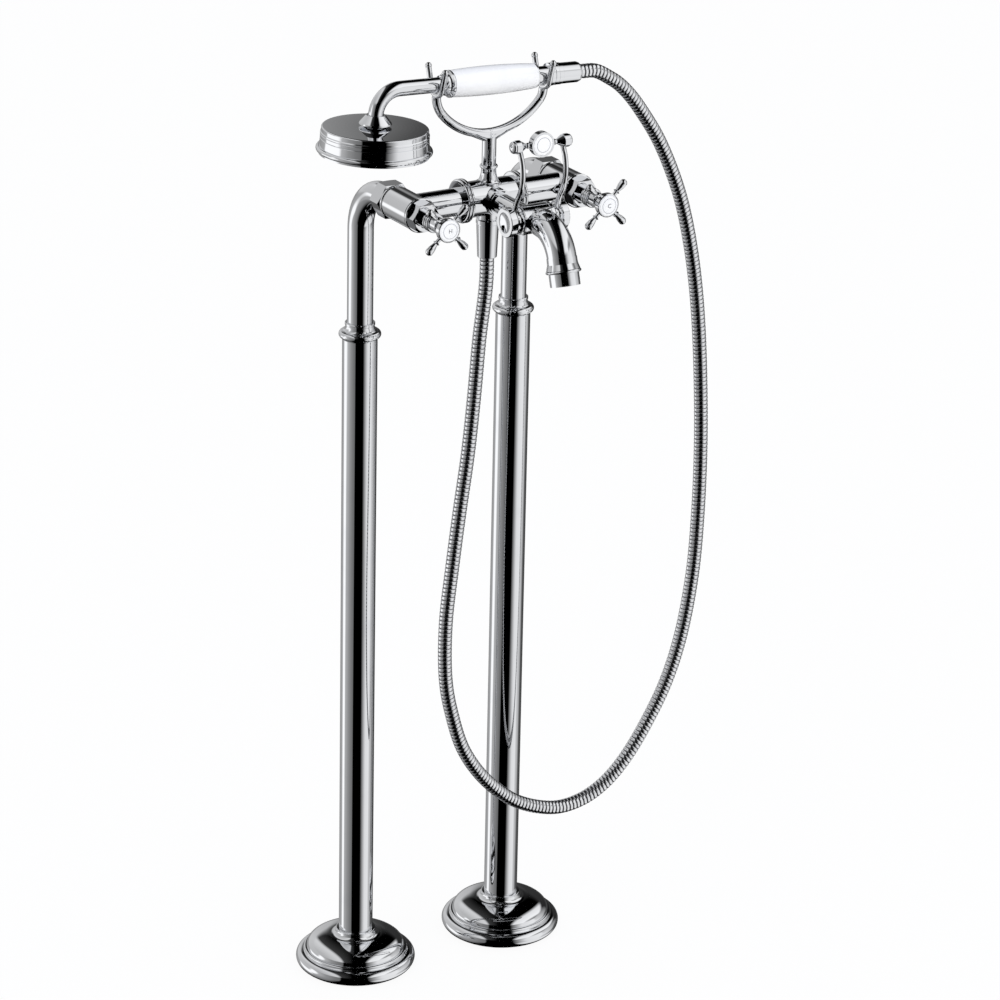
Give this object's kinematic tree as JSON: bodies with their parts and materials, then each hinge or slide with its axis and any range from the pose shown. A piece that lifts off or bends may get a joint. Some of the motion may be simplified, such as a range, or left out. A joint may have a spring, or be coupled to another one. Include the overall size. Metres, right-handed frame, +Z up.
{
  "type": "bathtub faucet",
  "caption": "Freestanding two-handle bath mixer with a curved spout, a cradled hand shower and a ribbed hose, on round floor pillars.",
  "frame": {"origin": "on the floor midway between the two pillar axes", "axes": "+X towards the cold side, -Y towards the bath where the spout points, +Z up"},
  "size_m": [0.3806, 0.2677, 0.8396],
  "materials": {
    "chrome": "polished chrome plate",
    "brass": "bare brass inside",
    "steel": "plain steel",
    "seal": "black rubber",
    "porcelain": "white glaze",
    "hose_metal": "metal wound hose skin over a rubber liner"
  },
  "bodies": {
    "stand": {"hot_floor_plate": "steel", "cold_floor_plate": "steel", "hot_floor_flange": "chrome", "cold_floor_flange": "chrome", "hot_pillar": "chrome", "cold_pillar": "chrome", "hot_supply_tube": "brass", "cold_supply_tube": "brass", "hot_collar": "chrome", "cold_collar": "chrome", "hot_riser": "chrome", "cold_riser": "chrome", "hot_union_nut": "chrome", "cold_union_nut": "chrome", "hot_union_washer": "seal", "cold_union_washer": "seal", "mixer_body": "chrome", "hot_bar_ring": "chrome", "cold_bar_ring": "chrome", "hot_bonnet": "chrome", "cold_bonnet": "chrome", "hot_cartridge": "brass", "cold_cartridge": "brass", "diverter_housing": "chrome", "spout": "chrome", "outlet_sleeve": "chrome", "aerator_insert": "steel", "hose_outlet": "chrome", "lower_hose_nut": "chrome", "lower_hose_washer": "seal", "shower_hose": "hose_metal", "cradle_foot": "chrome", "cradle_stem": "chrome", "cradle_fork": "chrome"},
    "hot_cross": {"hot_handle": "chrome", "hot_index_disc": "porcelain", "hot_handle_screw": "steel", "hot_spindle": "brass"},
    "cold_cross": {"cold_handle": "chrome", "cold_index_disc": "porcelain", "cold_handle_screw": "steel", "cold_spindle": "brass"},
    "diverter": {"diverter_lever": "chrome", "lever_disc": "porcelain", "hot_lever_cap": "chrome", "cold_lever_cap": "chrome", "diverter_shaft": "brass"},
    "handset": {"spray_head": "chrome", "spray_face": "chrome", "spray_face_seal": "seal", "head_nut": "chrome", "handset_arm": "chrome", "front_collar": "chrome", "porcelain_grip": "porcelain", "rear_collar": "chrome", "check_valve": "seal", "upper_hose_nut": "chrome", "upper_hose_washer": "seal"}
  },
  "joints": [
    {"name": "hot_valve", "type": "hinge", "parent": "stand", "child": "hot_cross", "pos_m": [-0.075, -0.14, 0.723], "axis": [0, -1, 0], "range_deg": [0, 90]},
    {"name": "cold_valve", "type": "hinge", "parent": "stand", "child": "cold_cross", "pos_m": [0.075, -0.14, 0.723], "axis": [0, -1, 0], "range_deg": [-90, 0]},
    {"name": "diverter_turn", "type": "hinge", "parent": "stand", "child": "diverter", "pos_m": [0, -0.152, 0.7245], "axis": [1, 0, 0], "range_deg": [0, 50]},
    {"name": "handset_lift", "type": "slide", "parent": "stand", "child": "handset", "axis": [0, 0, 1], "range_m": [0, 0.06]}
  ]
}
